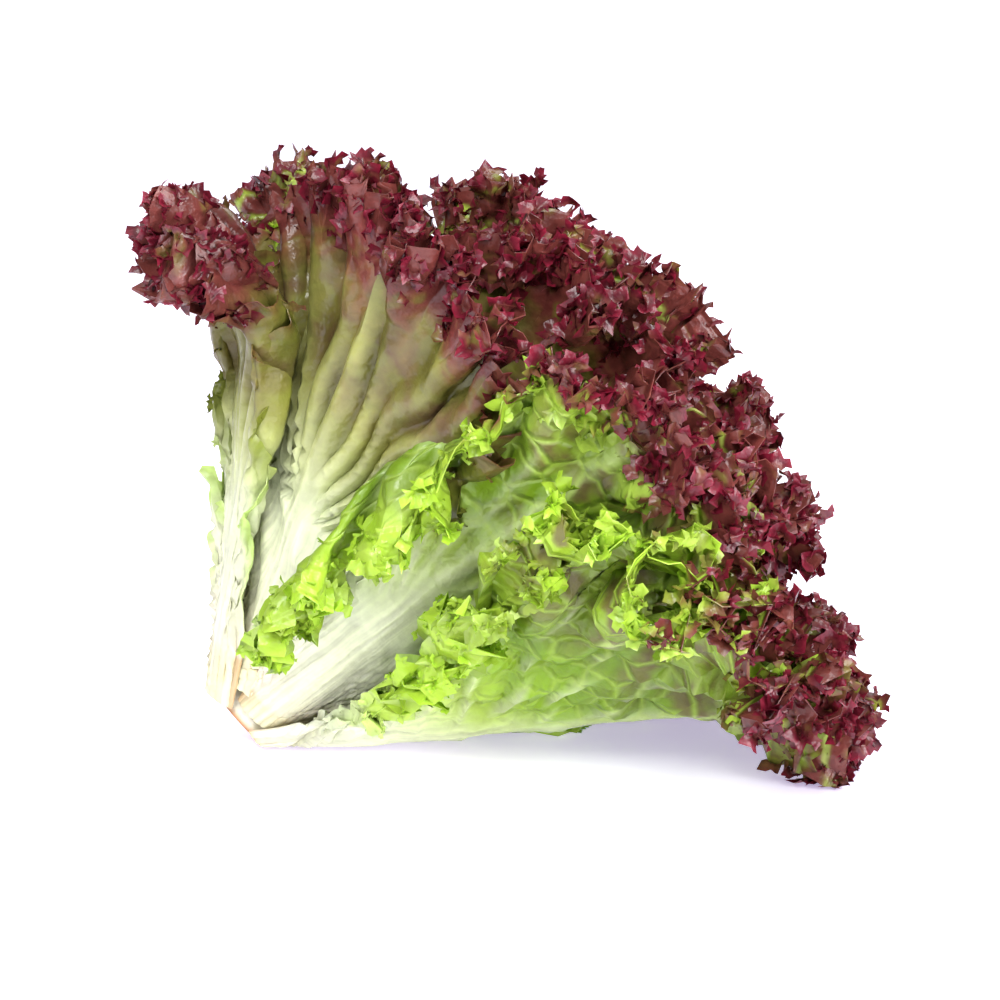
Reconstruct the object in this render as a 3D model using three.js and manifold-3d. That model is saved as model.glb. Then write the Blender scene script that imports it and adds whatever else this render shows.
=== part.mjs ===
// A head of red leaf lettuce, cut and laid on its side: a short stem carrying a spiral of frilled leaves.
// Millimetres and degrees, +Z up. The head rests on the plane z = 0 and its axis rises towards +X.
import * as THREE from "three";
import { mergeVertices } from "three/addons/utils/BufferGeometryUtils.js";
import Module from "manifold-3d";

// The head as a whole
const CUT_CENTRE = [-77.3, 0.2, 7]; // where the middle of the cut stem lies
const AXIS_RISE = 47; // the head's axis above the table
const CROWN_RADIUS = 178; // from the cut to the frilled crown

// The spiral of leaves, numbered from the outermost one inwards
const LEAF_COUNT = 18;
const DIVERGENCE = -137.5; // turn about the axis from one leaf to the next
const FIRST_AZIMUTH = 326; // of the outermost leaf: 0 faces the table, 180 the sky, 270 the viewer
// Leaves that lie off their place in the spiral: set elsewhere round the axis, bent in or out, rolled further
// back, shorter than the crown, or cupped so that their sides stand up against the head
const MOVED = {
  0: { lean: 3.5, curl: -32, cup: 16 },
  1: { azimuth: 204, lean: -6, curl: 50, reach: 0.93 },
  2: { azimuth: 44, lean: 3 },
  3: { lean: -5 },
  4: { azimuth: 122, lean: -1.5 },
  6: { azimuth: 214, lean: -2 },
};
const OUTER_LEAN = 45; // how far the leaves lean out from the axis
const HEART_LEAN = 4;
const OUTER_CURL = 48; // how much further the tips roll outwards
const HEART_CURL = 14;
const CURL_START = 0.6; // share of the length where the roll begins
const OUTER_HALF_WIDTH = 72;
const HEART_HALF_WIDTH = 42;
const FULLEST_WRAP = 48; // a leaf reaches no further than this round the axis, to either side

// The stem
const STEM_RADIUS = 9.5;
const STEM_HEIGHT = 36;
const CUT_SLANT = 6; // the knife went through a little off square
const FIRST_ATTACHMENT = 0.8; // height of the lowest leaf base above the cut
const LAST_ATTACHMENT = 27;
const LEAF_GAP = 0.3; // between a leaf base and the stem

// One leaf
const BASE_HALF_WIDTH = 8; // of the leaf base, round the stem
const WIDEST = 1.25; // above 1 the blade is widest nearer its tip
const MIDRIB_REACH = 0.62; // share of the length that the midrib runs
const BLADE_THICKNESS = 1.0;
const OUTER_RIB_THICKNESS = 2.7; // of the midrib at the leaf base
const HEART_RIB_THICKNESS = 1.8;
const FRILL_START = 0.4; // share of the way from midrib to margin
const OUTER_FRILL = 8; // height of the frill at the margin
const HEART_FRILL = 5;
const TOOTH = 2.6; // how far the margin's teeth stand out
const COLUMNS_PER_WAVE = 4;

// Rows of the leaf mesh from midrib to margin, with the columns that each has
const OUTER_ROWS = [
  { across: 0, columns: 16 },
  { across: 0.34, columns: 16 },
  { across: 0.62, columns: 32 },
  { across: 0.82, columns: 64 },
  { across: 1, columns: 64 },
];
const HEART_ROWS = [
  { across: 0, columns: 8 },
  { across: 0.36, columns: 16 },
  { across: 0.7, columns: 32 },
  { across: 1, columns: 32 },
];
const FIRST_HEART_LEAF = 12;

const MATERIALS = {
  stem: new THREE.MeshStandardMaterial({ color: 0xe6dcc8, roughness: 0.55, metalness: 0 }),
  outer: new THREE.MeshStandardMaterial({ color: 0x6e2a30, roughness: 0.45, metalness: 0 }),
  heart: new THREE.MeshStandardMaterial({ color: 0x7fa03c, roughness: 0.45, metalness: 0 }),
};

const wasm = await Module();
wasm.setup();

const { degToRad, lerp, smoothstep } = THREE.MathUtils;

// Stem radius at a height above the cut: nearly straight at first, then drawn in to the growing tip.
function stemRadius(height) {
  return STEM_RADIUS * Math.cos((Math.PI / 2) * Math.pow(height / STEM_HEIGHT, 1.6));
}

// The sizes of one leaf, from its place in the spiral.
function leafOf(number) {
  const inwards = number / (LEAF_COUNT - 1);
  const spiral = FIRST_AZIMUTH + DIVERGENCE * number;
  const moved = { azimuth: spiral, lean: 0, curl: 0, cup: 0, reach: 1, ...MOVED[number] };
  const lean = lerp(OUTER_LEAN, HEART_LEAN, inwards) + moved.lean;
  const attachment = lerp(FIRST_ATTACHMENT, LAST_ATTACHMENT, inwards);
  const ribThickness = lerp(OUTER_RIB_THICKNESS, HEART_RIB_THICKNESS, inwards);
  return {
    azimuth: moved.azimuth,
    lean: degToRad(lean),
    curl: degToRad(lerp(OUTER_CURL, HEART_CURL, inwards) + moved.curl),
    attachment,
    cup: degToRad(moved.cup),
    length: moved.reach * CROWN_RADIUS - attachment * Math.cos(degToRad(lean)),
    halfWidth: lerp(OUTER_HALF_WIDTH, HEART_HALF_WIDTH, inwards),
    baseRadius: stemRadius(attachment) + LEAF_GAP + ribThickness / 2,
    ribThickness,
    frill: lerp(OUTER_FRILL, HEART_FRILL, inwards),
    phase: number * 1.9,
    rows: number < FIRST_HEART_LEAF ? OUTER_ROWS : HEART_ROWS,
  };
}

// The leaf's line from base to tip, seen from the side: distance from the axis, height and slope at each mm.
function profileOf(leaf) {
  const line = [{ radius: leaf.baseRadius, height: leaf.attachment, slope: leaf.lean }];
  for (let along = 1; along <= leaf.length + 2 * TOOTH; along++) {
    const last = line[line.length - 1];
    line.push({
      radius: last.radius + Math.sin(last.slope),
      height: last.height + Math.cos(last.slope),
      slope: leaf.lean + leaf.curl * smoothstep(along / leaf.length, CURL_START, 1),
    });
  }
  return (along) => {
    const i = Math.min(Math.floor(along), line.length - 2);
    const part = along - i;
    return {
      radius: lerp(line[i].radius, line[i + 1].radius, part),
      height: lerp(line[i].height, line[i + 1].height, part),
      slope: lerp(line[i].slope, line[i + 1].slope, part),
    };
  };
}

// A point of the leaf's middle surface, and its thickness there. The blade goes round the head's axis. Its
// veins run from the midrib (across = 0) to the margin (across = 1), and side goes from -1 to 1, from one
// corner over the tip to the other.
function leafPoint(leaf, profile, side, across, column) {
  const up = 1 - Math.abs(side);
  const spread = Math.sin(Math.PI * Math.pow(up, WIDEST));
  const marginX = BASE_HALF_WIDTH * (1 - up) + leaf.halfWidth * spread;
  const marginY = leaf.length * Math.sin((Math.PI / 2) * up);
  const veinStart = MIDRIB_REACH * leaf.length * Math.pow(up, 1.3);
  const frilled = smoothstep(across, FRILL_START, 1) * smoothstep(up, 0, 0.7);
  const tooth = across === 1 ? TOOTH * (column % 2 ? 1 : -1) * smoothstep(up, 0, 0.2) : 0;
  const reach = across + tooth / Math.hypot(marginX, marginY - veinStart);
  const x = Math.sign(side) * marginX * reach;
  const y = Math.max(0, lerp(veinStart, marginY, Math.pow(reach, 1.15)));
  const flat = profile(y);
  const foot = new THREE.Vector2(leaf.baseRadius, leaf.attachment);
  const wrap = degToRad(FULLEST_WRAP);
  const turn = wrap * Math.tanh(x / flat.radius / wrap);
  const cup = leaf.cup * Math.pow(turn / wrap, 2);
  const line = new THREE.Vector2(flat.radius, flat.height).rotateAround(foot, cup);
  const slope = flat.slope - cup;
  const wave = leaf.frill * frilled * Math.sin((2 * Math.PI * column) / COLUMNS_PER_WAVE + leaf.phase);
  const out = line.x + wave * Math.cos(slope);
  const rib = Math.pow(1 - across, 2) * Math.pow(1 - veinStart / leaf.length, 1.5);
  return {
    point: new THREE.Vector3(out * Math.cos(turn), out * Math.sin(turn), line.y - wave * Math.sin(slope)),
    thickness: lerp(BLADE_THICKNESS, leaf.ribThickness, rib),
  };
}

// The middle surface of a leaf as points and triangles. Rows that double their columns are joined by threes.
function leafSheet(leaf) {
  const profile = profileOf(leaf);
  const points = [];
  const thickness = [];
  const triangles = [];
  const most = leaf.rows[leaf.rows.length - 1].columns;
  const rows = leaf.rows.map(({ across, columns }) =>
    Array.from({ length: columns + 1 }, (_, i) => {
      if (across === 0 && i > columns / 2) return columns - i; // both halves share the midrib's points
      const side = -1 + (2 * i) / columns;
      const made = leafPoint(leaf, profile, side, across, (i * most) / columns);
      thickness.push(made.thickness);
      return points.push(made.point) - 1;
    }),
  );
  const add = (a, b, c) => {
    if (a !== b && b !== c && c !== a) triangles.push([a, b, c]);
  };
  for (let r = 0; r + 1 < rows.length; r++) {
    const [inner, outer] = [rows[r], rows[r + 1]];
    const step = (outer.length - 1) / (inner.length - 1);
    for (let i = 0; i + 1 < inner.length; i++) {
      const [a, b] = [inner[i], inner[i + 1]];
      const fan = outer.slice(i * step, (i + 1) * step + 1);
      const middle = Math.floor(fan.length / 2);
      fan.slice(1).forEach((q, k) => add(k < middle ? a : b, q, fan[k]));
      add(a, b, fan[middle]);
    }
  }
  return { points, thickness, triangles };
}

// Gives a sheet its thickness: the same triangles on both faces, and a strip along every free edge.
function thicken({ points, thickness, triangles }) {
  const normals = points.map(() => new THREE.Vector3());
  const edges = new Map();
  for (const t of triangles) {
    const [a, b, c] = t.map((i) => points[i]);
    const normal = new THREE.Triangle(a, b, c).getNormal(new THREE.Vector3());
    t.forEach((i, k) => {
      normals[i].add(normal);
      const next = t[(k + 1) % 3];
      edges.has(`${next},${i}`) ? edges.delete(`${next},${i}`) : edges.set(`${i},${next}`, [i, next]);
    });
  }
  const count = points.length;
  normals.forEach((normal, i) => normal.setLength(thickness[i] / 2));
  const offset = (i, sign) => points[i].clone().addScaledVector(normals[i], sign);
  const both = [1, -1].flatMap((sign) => points.map((_, i) => offset(i, sign)));
  const faces = triangles.flatMap(([a, b, c]) => [a, b, c, c + count, b + count, a + count]);
  for (const [a, b] of edges.values()) faces.push(b, a, a + count, b, a + count, b + count);
  return new THREE.BufferGeometry().setFromPoints(both).setIndex(faces);
}

// A closed geometry as a solid for cutting, and back again.
function solidOf(geometry) {
  const bare = new THREE.BufferGeometry().setAttribute("position", geometry.getAttribute("position"));
  const merged = mergeVertices(bare.setIndex(geometry.index));
  return new wasm.Manifold(
    new wasm.Mesh({
      numProp: 3,
      vertProperties: new Float32Array(merged.attributes.position.array),
      triVerts: new Uint32Array(merged.index.array),
    }),
  );
}

function geometryOf(solid) {
  const { vertProperties, triVerts } = solid.getMesh();
  return new THREE.BufferGeometry()
    .setAttribute("position", new THREE.BufferAttribute(vertProperties, 3))
    .setIndex(new THREE.BufferAttribute(triVerts, 1));
}

// Flattens what would reach below the table, where the head's own weight presses it flat.
function restOnTable(mesh) {
  mesh.updateWorldMatrix(true, false);
  const reach = 4 * CROWN_RADIUS;
  const below = new THREE.BoxGeometry(reach, reach, reach).translate(0, 0, -reach / 2);
  const lowest = new THREE.Box3().setFromObject(mesh, true).min.z;
  if (lowest >= 0) return;
  const table = below.applyMatrix4(mesh.matrixWorld.clone().invert());
  const largest = solidOf(mesh.geometry)
    .subtract(solidOf(table))
    .decompose()
    .sort((a, b) => b.volume() - a.volume())[0];
  mesh.geometry = geometryOf(largest);
}

// The stem: a short turned body from the cut to the growing tip.
function makeStem() {
  const rings = 6;
  const outline = [new THREE.Vector2(0, 0)];
  for (let i = 0; i < rings; i++) {
    const height = (STEM_HEIGHT * i) / rings;
    outline.push(new THREE.Vector2(stemRadius(height), height));
  }
  outline.push(new THREE.Vector2(0, STEM_HEIGHT));
  const geometry = new THREE.LatheGeometry(outline, 20).rotateX(Math.PI / 2);
  const position = geometry.getAttribute("position");
  for (let i = 0; i < position.count; i++) {
    const onCut = Math.abs(position.getZ(i)) < 1e-6;
    if (onCut) position.setZ(i, -position.getX(i) * Math.tan(degToRad(CUT_SLANT)));
  }
  const mesh = new THREE.Mesh(geometry, MATERIALS.stem);
  mesh.name = "stem";
  return mesh;
}

function makeLeaf(number) {
  const leaf = leafOf(number);
  const inHeart = number >= FIRST_HEART_LEAF;
  const mesh = new THREE.Mesh(thicken(leafSheet(leaf)), inHeart ? MATERIALS.heart : MATERIALS.outer);
  mesh.name = `leaf_${String(number + 1).padStart(2, "0")}`;
  mesh.rotation.z = degToRad(leaf.azimuth);
  return mesh;
}

const lettuce = new THREE.Group();
const head = new THREE.Group();
head.position.set(...CUT_CENTRE);
head.rotation.y = degToRad(90 - AXIS_RISE);
lettuce.add(head);
head.add(makeStem());
for (let number = 0; number < LEAF_COUNT; number++) head.add(makeLeaf(number));
for (const mesh of head.children) restOnTable(mesh);

export default lettuce;
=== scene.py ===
"""A head of red leaf lettuce, cut from its root and laid on its side on a pale table."""
import math

import bpy
import numpy as np
from mathutils import Matrix, Vector


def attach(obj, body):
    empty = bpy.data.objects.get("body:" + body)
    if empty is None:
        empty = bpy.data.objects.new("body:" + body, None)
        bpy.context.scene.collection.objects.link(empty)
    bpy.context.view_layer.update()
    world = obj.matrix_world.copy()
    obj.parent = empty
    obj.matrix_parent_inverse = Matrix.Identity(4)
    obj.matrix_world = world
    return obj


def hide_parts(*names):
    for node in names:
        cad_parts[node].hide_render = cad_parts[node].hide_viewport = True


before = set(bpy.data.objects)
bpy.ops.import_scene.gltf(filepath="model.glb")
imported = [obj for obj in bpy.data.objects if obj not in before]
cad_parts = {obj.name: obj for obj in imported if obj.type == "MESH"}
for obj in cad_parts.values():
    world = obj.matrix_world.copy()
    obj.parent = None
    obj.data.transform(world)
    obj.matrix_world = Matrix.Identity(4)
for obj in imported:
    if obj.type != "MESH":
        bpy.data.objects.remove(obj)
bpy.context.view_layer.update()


# The stem
# A short core of firm cream tissue that all the leaves grow from. It was cut through with a knife, a little
# off square, just below the lowest leaf. The cut has begun to dry to tan, and the far end narrows to a tip.
CUT_CENTRE = Vector((-0.0773, 0.0002, 0.007))
AXIS_RISE = math.radians(47)
STEM_RADIUS = 0.0095
STEM_HEIGHT = 0.036
STEM_COLUMNS = 72
STEM_RINGS = 30
CUT_SLANT = math.radians(6)
# The slant of the cut fades out over this height, and the cut's rim is rounded by this much
SLANT_HEIGHT = 0.006
RIM_ROUNDING = 0.0001
HEAD = Matrix.Translation(CUT_CENTRE) @ Matrix.Rotation(math.pi / 2 - AXIS_RISE, 4, "Y")


def linear(hex_colour):
    """An sRGB hex colour as linear red, green, blue and alpha."""
    channels = [int(hex_colour[i : i + 2], 16) / 255 for i in (1, 3, 5)]
    return (*[c / 12.92 if c <= 0.04045 else ((c + 0.055) / 1.055) ** 2.4 for c in channels], 1)


def add_node(tree, kind, inputs=None, output=None, stops=(), **settings):
    """Adds a node with its settings, and returns the output asked for or else the first in use. An input is
    a value, the socket that feeds it or a list of sockets. A ramp's stop is a place and a hex colour."""
    node = tree.nodes.new(kind)
    for name, value in settings.items():
        setattr(node, name, value)
    for name, value in (inputs or {}).items():
        for source in value if isinstance(value, list) else [value]:
            if isinstance(source, bpy.types.NodeSocket):
                tree.links.new(source, node.inputs[name])
            else:
                node.inputs[name].default_value = source
    while stops and len(node.color_ramp.elements) < len(stops):
        node.color_ramp.elements.new(0.5)
    for i, (place, colour) in enumerate(stops):
        node.color_ramp.elements[i].position = place
        node.color_ramp.elements[i].color = linear(colour)
    if output:
        return node.outputs[output]
    return next((socket for socket in node.outputs if socket.enabled), None)


def new_material(name):
    """An empty node material and its tree."""
    material = bpy.data.materials.new(name)
    material.use_nodes = True
    material.node_tree.nodes.clear()
    return material, material.node_tree


def stem_radius(height):
    """The stem's radius at a height above the cut."""
    return STEM_RADIUS * math.cos(math.pi / 2 * (height / STEM_HEIGHT) ** 1.6)


def make_stem():
    """The stem as rings from the middle of the cut, over its rim, to the growing tip."""
    rings = [(STEM_RADIUS * share, 0.0) for share in (0.2, 0.4, 0.6, 0.75, 0.88, 0.96)]
    rings += [(STEM_RADIUS * 0.992, RIM_ROUNDING)]
    heights = [STEM_HEIGHT * i / STEM_RINGS for i in range(1, STEM_RINGS)]
    rings += [(stem_radius(height), height) for height in heights]
    points = [(0, 0, 0)]
    for radius, height in rings:
        for i in range(STEM_COLUMNS):
            turn = 2 * math.pi * i / STEM_COLUMNS
            lump = 1 - 0.012 * (1 + math.sin(5 * turn + 90 * height) * math.cos(3 * turn - 140 * height))
            x = radius * lump * math.cos(turn)
            slant = -x * math.tan(CUT_SLANT) * max(0, 1 - height / SLANT_HEIGHT)
            points.append((x, radius * lump * math.sin(turn), height + slant))
    points.append((0, 0, STEM_HEIGHT))
    faces = []
    for i in range(STEM_COLUMNS):
        j = (i + 1) % STEM_COLUMNS
        faces.append((0, 1 + j, 1 + i))
        for ring in range(len(rings) - 1):
            low = 1 + ring * STEM_COLUMNS
            high = low + STEM_COLUMNS
            faces.append((low + i, low + j, high + j, high + i))
        last = 1 + (len(rings) - 1) * STEM_COLUMNS
        faces.append((last + i, last + j, len(points) - 1))
    mesh = bpy.data.meshes.new("stem_core")
    mesh.from_pydata([HEAD @ Vector(p) for p in points], [], faces)
    ring_share = mesh.attributes.new("out_from_core", "FLOAT", "POINT")
    cut_distance = mesh.attributes.new("above_cut", "FLOAT", "POINT")
    for i, p in enumerate(points):
        ring_share.data[i].value = math.hypot(p[0], p[1]) / STEM_RADIUS
        cut_distance.data[i].value = max(0, p[2] + p[0] * math.tan(CUT_SLANT))
    mesh.shade_smooth()
    return bpy.data.objects.new("stem_core", mesh)


# Cut lettuce stem: wet cream pith with a paler ring of vessels, drying to tan at the rim. The freshly cut
# cells give it a soft sheen. Its blotches are 4 mm across and its fibres 0.8 mm.
cut_stem, tree = new_material("cut_lettuce_stem")
out_from_core = add_node(tree, "ShaderNodeAttribute", output="Fac", attribute_name="out_from_core")
above_cut = add_node(tree, "ShaderNodeAttribute", output="Fac", attribute_name="above_cut")
place = add_node(tree, "ShaderNodeTexCoord", output="Object")
blotch = add_node(tree, "ShaderNodeTexNoise", {"Vector": place, "Scale": 1 / 0.004, "Detail": 5})
wavering = add_node(tree, "ShaderNodeMath", {0: blotch, 1: 0.3, 2: out_from_core}, operation="MULTIPLY_ADD")
cut_colour = add_node(
    tree, "ShaderNodeValToRGB", {"Fac": wavering},
    stops=[(0.1, "#d9cfae"), (0.55, "#e6dfc6"), (0.78, "#efe8d4"), (0.95, "#cfa878"), (1.0, "#a9784b")],
)
near_cut = add_node(
    tree, "ShaderNodeMapRange",
    {"Value": above_cut, "From Min": 0.0003, "From Max": 0.0022, "To Min": 1.0, "To Max": 0.0},
)
side_colour = add_node(
    tree, "ShaderNodeValToRGB", {"Fac": blotch},
    stops=[(0.3, "#d8d3b4"), (0.55, "#e9e6d3"), (0.75, "#e3cfc0")],
)
# Inputs 6 and 7 of a mix of colours are its two colours
stem_colour = add_node(
    tree, "ShaderNodeMix", {"Factor": near_cut, 6: side_colour, 7: cut_colour}, data_type="RGBA"
)
fibres = add_node(tree, "ShaderNodeTexNoise", {"Vector": place, "Scale": 1 / 0.0008, "Detail": 3})
fibre_bump = add_node(tree, "ShaderNodeBump", {"Height": fibres, "Strength": 0.35, "Distance": 0.0004})
stem_shader = add_node(
    tree, "ShaderNodeBsdfPrincipled",
    {"Base Color": stem_colour, "Roughness": 0.5, "IOR": 1.4, "Normal": fibre_bump},
)
add_node(tree, "ShaderNodeOutputMaterial", {"Surface": stem_shader})

stem = make_stem()
bpy.context.collection.objects.link(stem)
stem.data.materials.append(cut_stem)
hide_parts("stem")
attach(stem, "root")


# The leaves
# Each leaf is one thin sheet with a thick white midrib that clasps the stem. Veins fan out from the midrib.
# The margin grew faster than the blade, so it is thrown into ruffles upon ruffles with pointed teeth.
CROWN_RADIUS = 0.178
LEAF_COUNT = 18
FIRST_HEART_LEAF = 12
# Leaves whose ribbed face turns olive towards the crown
OLIVE_LEAVES = (1, 6, 11)
# The spiral they grow in, in degrees
DIVERGENCE = -137.5
FIRST_AZIMUTH = 326
# Sizes of the outermost and the innermost leaf; lean and curl are in degrees
LEAN = (45, 4)
CURL = (48, 14)
HALF_WIDTH = (0.072, 0.042)
ATTACHMENT = (0.0008, 0.027)
RIB_THICKNESS = (0.0027, 0.0018)
FRILL_HEIGHT = (0.008, 0.005)
# Broad waves along the margin of an outer and of a heart leaf, and their shift from leaf to leaf
OUTER_WAVES = 16
HEART_WAVES = 8
WAVE_SHIFT = 1.9
# How a leaf grows where nothing turned or pressed it, with angles in degrees. Reach, left and right scale
# its length and the widths of its halves. Flare lifts the low margins off the head, fold is where the left
# margin folds back, and fan is how far the ribs fan out. Plain keeps the right half smooth. Shade keeps the
# red away, and lime and green move the green.
PLAIN_LEAF = {
    "lean": 0, "curl": 0, "cup": 0, "reach": 1, "flare": 0, "fold": 1, "fan": 0, "left": 1, "right": 1,
    "left_wrap": 48, "right_wrap": 48, "shade": 0, "plain": 0, "taper": 1.25, "lime": 0.026, "green": 0,
}
# What differs in single leaves
MOVED_LEAVES = {
    0: {"lean": -2, "curl": -20, "cup": 14, "flare": 0.009, "left": 1.45, "left_wrap": 100, "shade": 0.75,
        "taper": 1.65, "lime": 0.05, "green": 0.09},
    1: {"azimuth": 198, "lean": -6, "curl": 42, "reach": 0.9, "flare": 0.003, "left": 0.62, "right": 0.08,
        "fan": 1, "plain": 1, "shade": -0.25, "lime": 0.01},
    2: {"azimuth": 44, "lean": 3, "flare": 0.009},
    3: {"lean": -5, "curl": -26, "flare": 0.004, "fold": 0.6, "fan": 0.6, "shade": 0.9, "lime": 0.034},
    4: {"azimuth": 122, "lean": -1.5, "reach": 0.97, "flare": 0.004},
    6: {"azimuth": 220, "lean": 2, "curl": -25, "reach": 0.95, "fan": 1},
    9: {"reach": 0.92},
    11: {"fan": 1},
    16: {"reach": 1.03},
}
# The curls of the frill stand out this far beyond the sheet that carries them
CURL_REACH = 0.006
LEAF_GAP = 0.0003
BASE_HALF_WIDTH = 0.0105
MIDRIB_REACH = 0.62
VEINS_PER_SIDE = 10
FAN_RIBS_PER_SIDE = 4.5
# Half the width of a side vein where it leaves the midrib
VEIN_HALF_WIDTH = 0.0021
# A folded margin comes back by this share of what lies past the fold, this far off the blade
FOLD_RETURN = 1.8
FOLD_STANDOFF = 0.004
# The leaf laid flat is drawn on a square of this size, its margin measured in this many steps
PLAN_SIZE = 0.2
MARGIN_STEPS = 2001
# The step in which a leaf's bend is added up along its length
BEND_STEP = 0.0005
# Leaf that would hang below the table is pressed into a layer this thick on top of it
PRESSED_LAYER = 0.004
CURL_KINDS = ("Curl A", "Curl B", "Curl C")
# What grows on a leaf's sheet: heights, lengths, depths from the margin and counts for a square metre
LEAF_VALUES = {
    "Fold Height": 0.005, "Fold Length": 0.014, "Fold Depth": 0.036,
    "Ruffle Height": 0.0032, "Ruffle Length": 0.0075, "Ruffle Depth": 0.018,
    "Crinkle Height": 0.0014, "Crinkle Length": 0.0036, "Crinkle Depth": 0.008,
    "Tooth Height": 0.0042, "Tooth Length": 0.0021, "Tooth Depth": 0.008,
    "Curl Size": 0.0035, "Curls per Area": 66000.0, "Curl Depth": 0.032, "Curl Start": 0.72,
    "Side Curls": 0.9, "Side Curl Depth": 0.014,
    "Pucker Height": 0.0018, "Pucker Size": 0.013,
    "Rib Height": 0.0008, "Blade Thickness": 0.0006, "Edge Thickness": 0.00025,
}
HEART_CURLS_PER_AREA = 37000.0
# A new seed for each leaf
SEED_STEP = 31.7
# What grows differently on single leaves
LEAF_OWN_VALUES = {
    0: {
        "Fold Height": 0.0085, "Fold Depth": 0.06, "Ruffle Height": 0.005, "Ruffle Depth": 0.042,
        "Crinkle Height": 0.002, "Crinkle Depth": 0.016, "Pucker Height": 0.0042,
        "Curl Start": 0.88, "Side Curl Depth": 0.02, "Rib Height": 0.0018,
    },
    1: {"Rib Height": 0.0016, "Side Curls": 0.7},
    3: {"Pucker Height": 0.0024, "Curl Start": 0.76, "Side Curl Depth": 0.02, "Ruffle Height": 0.004},
    6: {"Rib Height": 0.0036, "Pucker Height": 0.001, "Curl Start": 0.84, "Side Curls": 0.4},
    11: {"Rib Height": 0.0016, "Side Curls": 0.0},
}
# Rows of points from midrib to margin, closer together and with more columns towards the frill
LEAF_ROWS = (
    [(0.63 * i / 18, 132) for i in range(19)]
    + [(share, 264) for share in (0.665, 0.7, 0.735, 0.77, 0.8, 0.83)]
    + [(share, 528) for share in (0.865, 0.9, 0.93, 0.955, 0.978, 1)]
)
HEART_ROWS = (
    [(share, 72) for share in (0, 0.1, 0.22, 0.34, 0.46, 0.57)]
    + [(share, 144) for share in (0.66, 0.74, 0.81)]
    + [(share, 288) for share in (0.865, 0.91, 0.945, 0.975, 1)]
)


def smooth_step(value, low, high):
    """A smooth rise from 0 at the low value to 1 at the high one."""
    share = np.clip((value - low) / (high - low), 0, 1)
    return share * share * (3 - 2 * share)


def leaf_sizes(number):
    """The sizes of one leaf, from its place in the spiral; number 0 is the outermost."""
    inwards = number / (LEAF_COUNT - 1)
    graded = [LEAN, CURL, HALF_WIDTH, ATTACHMENT, RIB_THICKNESS, FRILL_HEIGHT]
    lean, curl, half_width, attachment, rib_thickness, frill = [
        outermost + (innermost - outermost) * inwards for outermost, innermost in graded
    ]
    leaf = {"azimuth": FIRST_AZIMUTH + DIVERGENCE * number}
    leaf.update(PLAIN_LEAF)
    leaf.update(MOVED_LEAVES.get(number, {}))
    leaf["lean"] += lean
    leaf["curl"] += curl
    for name in ("azimuth", "lean", "curl", "cup", "left_wrap", "right_wrap"):
        leaf[name] = math.radians(leaf[name])
    leaf.update({
        "attachment": attachment,
        "length": leaf["reach"] * CROWN_RADIUS - CURL_REACH - attachment * math.cos(leaf["lean"]),
        "left_width": half_width * leaf["left"],
        "right_width": half_width * leaf["right"],
        "base_radius": stem_radius(attachment) + LEAF_GAP + rib_thickness / 2,
        "rib_thickness": rib_thickness,
        "frill": frill,
        "phase": number * WAVE_SHIFT,
        "waves": OUTER_WAVES if number < FIRST_HEART_LEAF else HEART_WAVES,
        "rows": LEAF_ROWS if number < FIRST_HEART_LEAF else HEART_ROWS,
    })
    return leaf


def leaf_plan(leaf, side, across):
    """Where a point lies on the leaf laid flat: sideways and along, and how long its vein is."""
    up = 1 - np.abs(side)
    half_width = np.where(side < 0, leaf["left_width"], leaf["right_width"])
    taper = np.where(side < 0, leaf["taper"], PLAIN_LEAF["taper"])
    margin_x = BASE_HALF_WIDTH * (1 - up) + half_width * np.sin(math.pi * up**taper)
    margin_y = leaf["length"] * np.sin(math.pi / 2 * up)
    vein_y = MIDRIB_REACH * leaf["length"] * up**1.3
    x = np.sign(side) * margin_x * across
    y = vein_y + (margin_y - vein_y) * across**1.15
    return x, y, np.hypot(margin_x, margin_y - vein_y)


def folded_share(leaf, side):
    """How far the left margin is folded back over its own blade, 0 to 1."""
    if leaf["fold"] == 1:
        return np.zeros_like(side)
    return smooth_step(side, -0.9, -0.72) * (1 - smooth_step(side, -0.28, -0.1))


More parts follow.
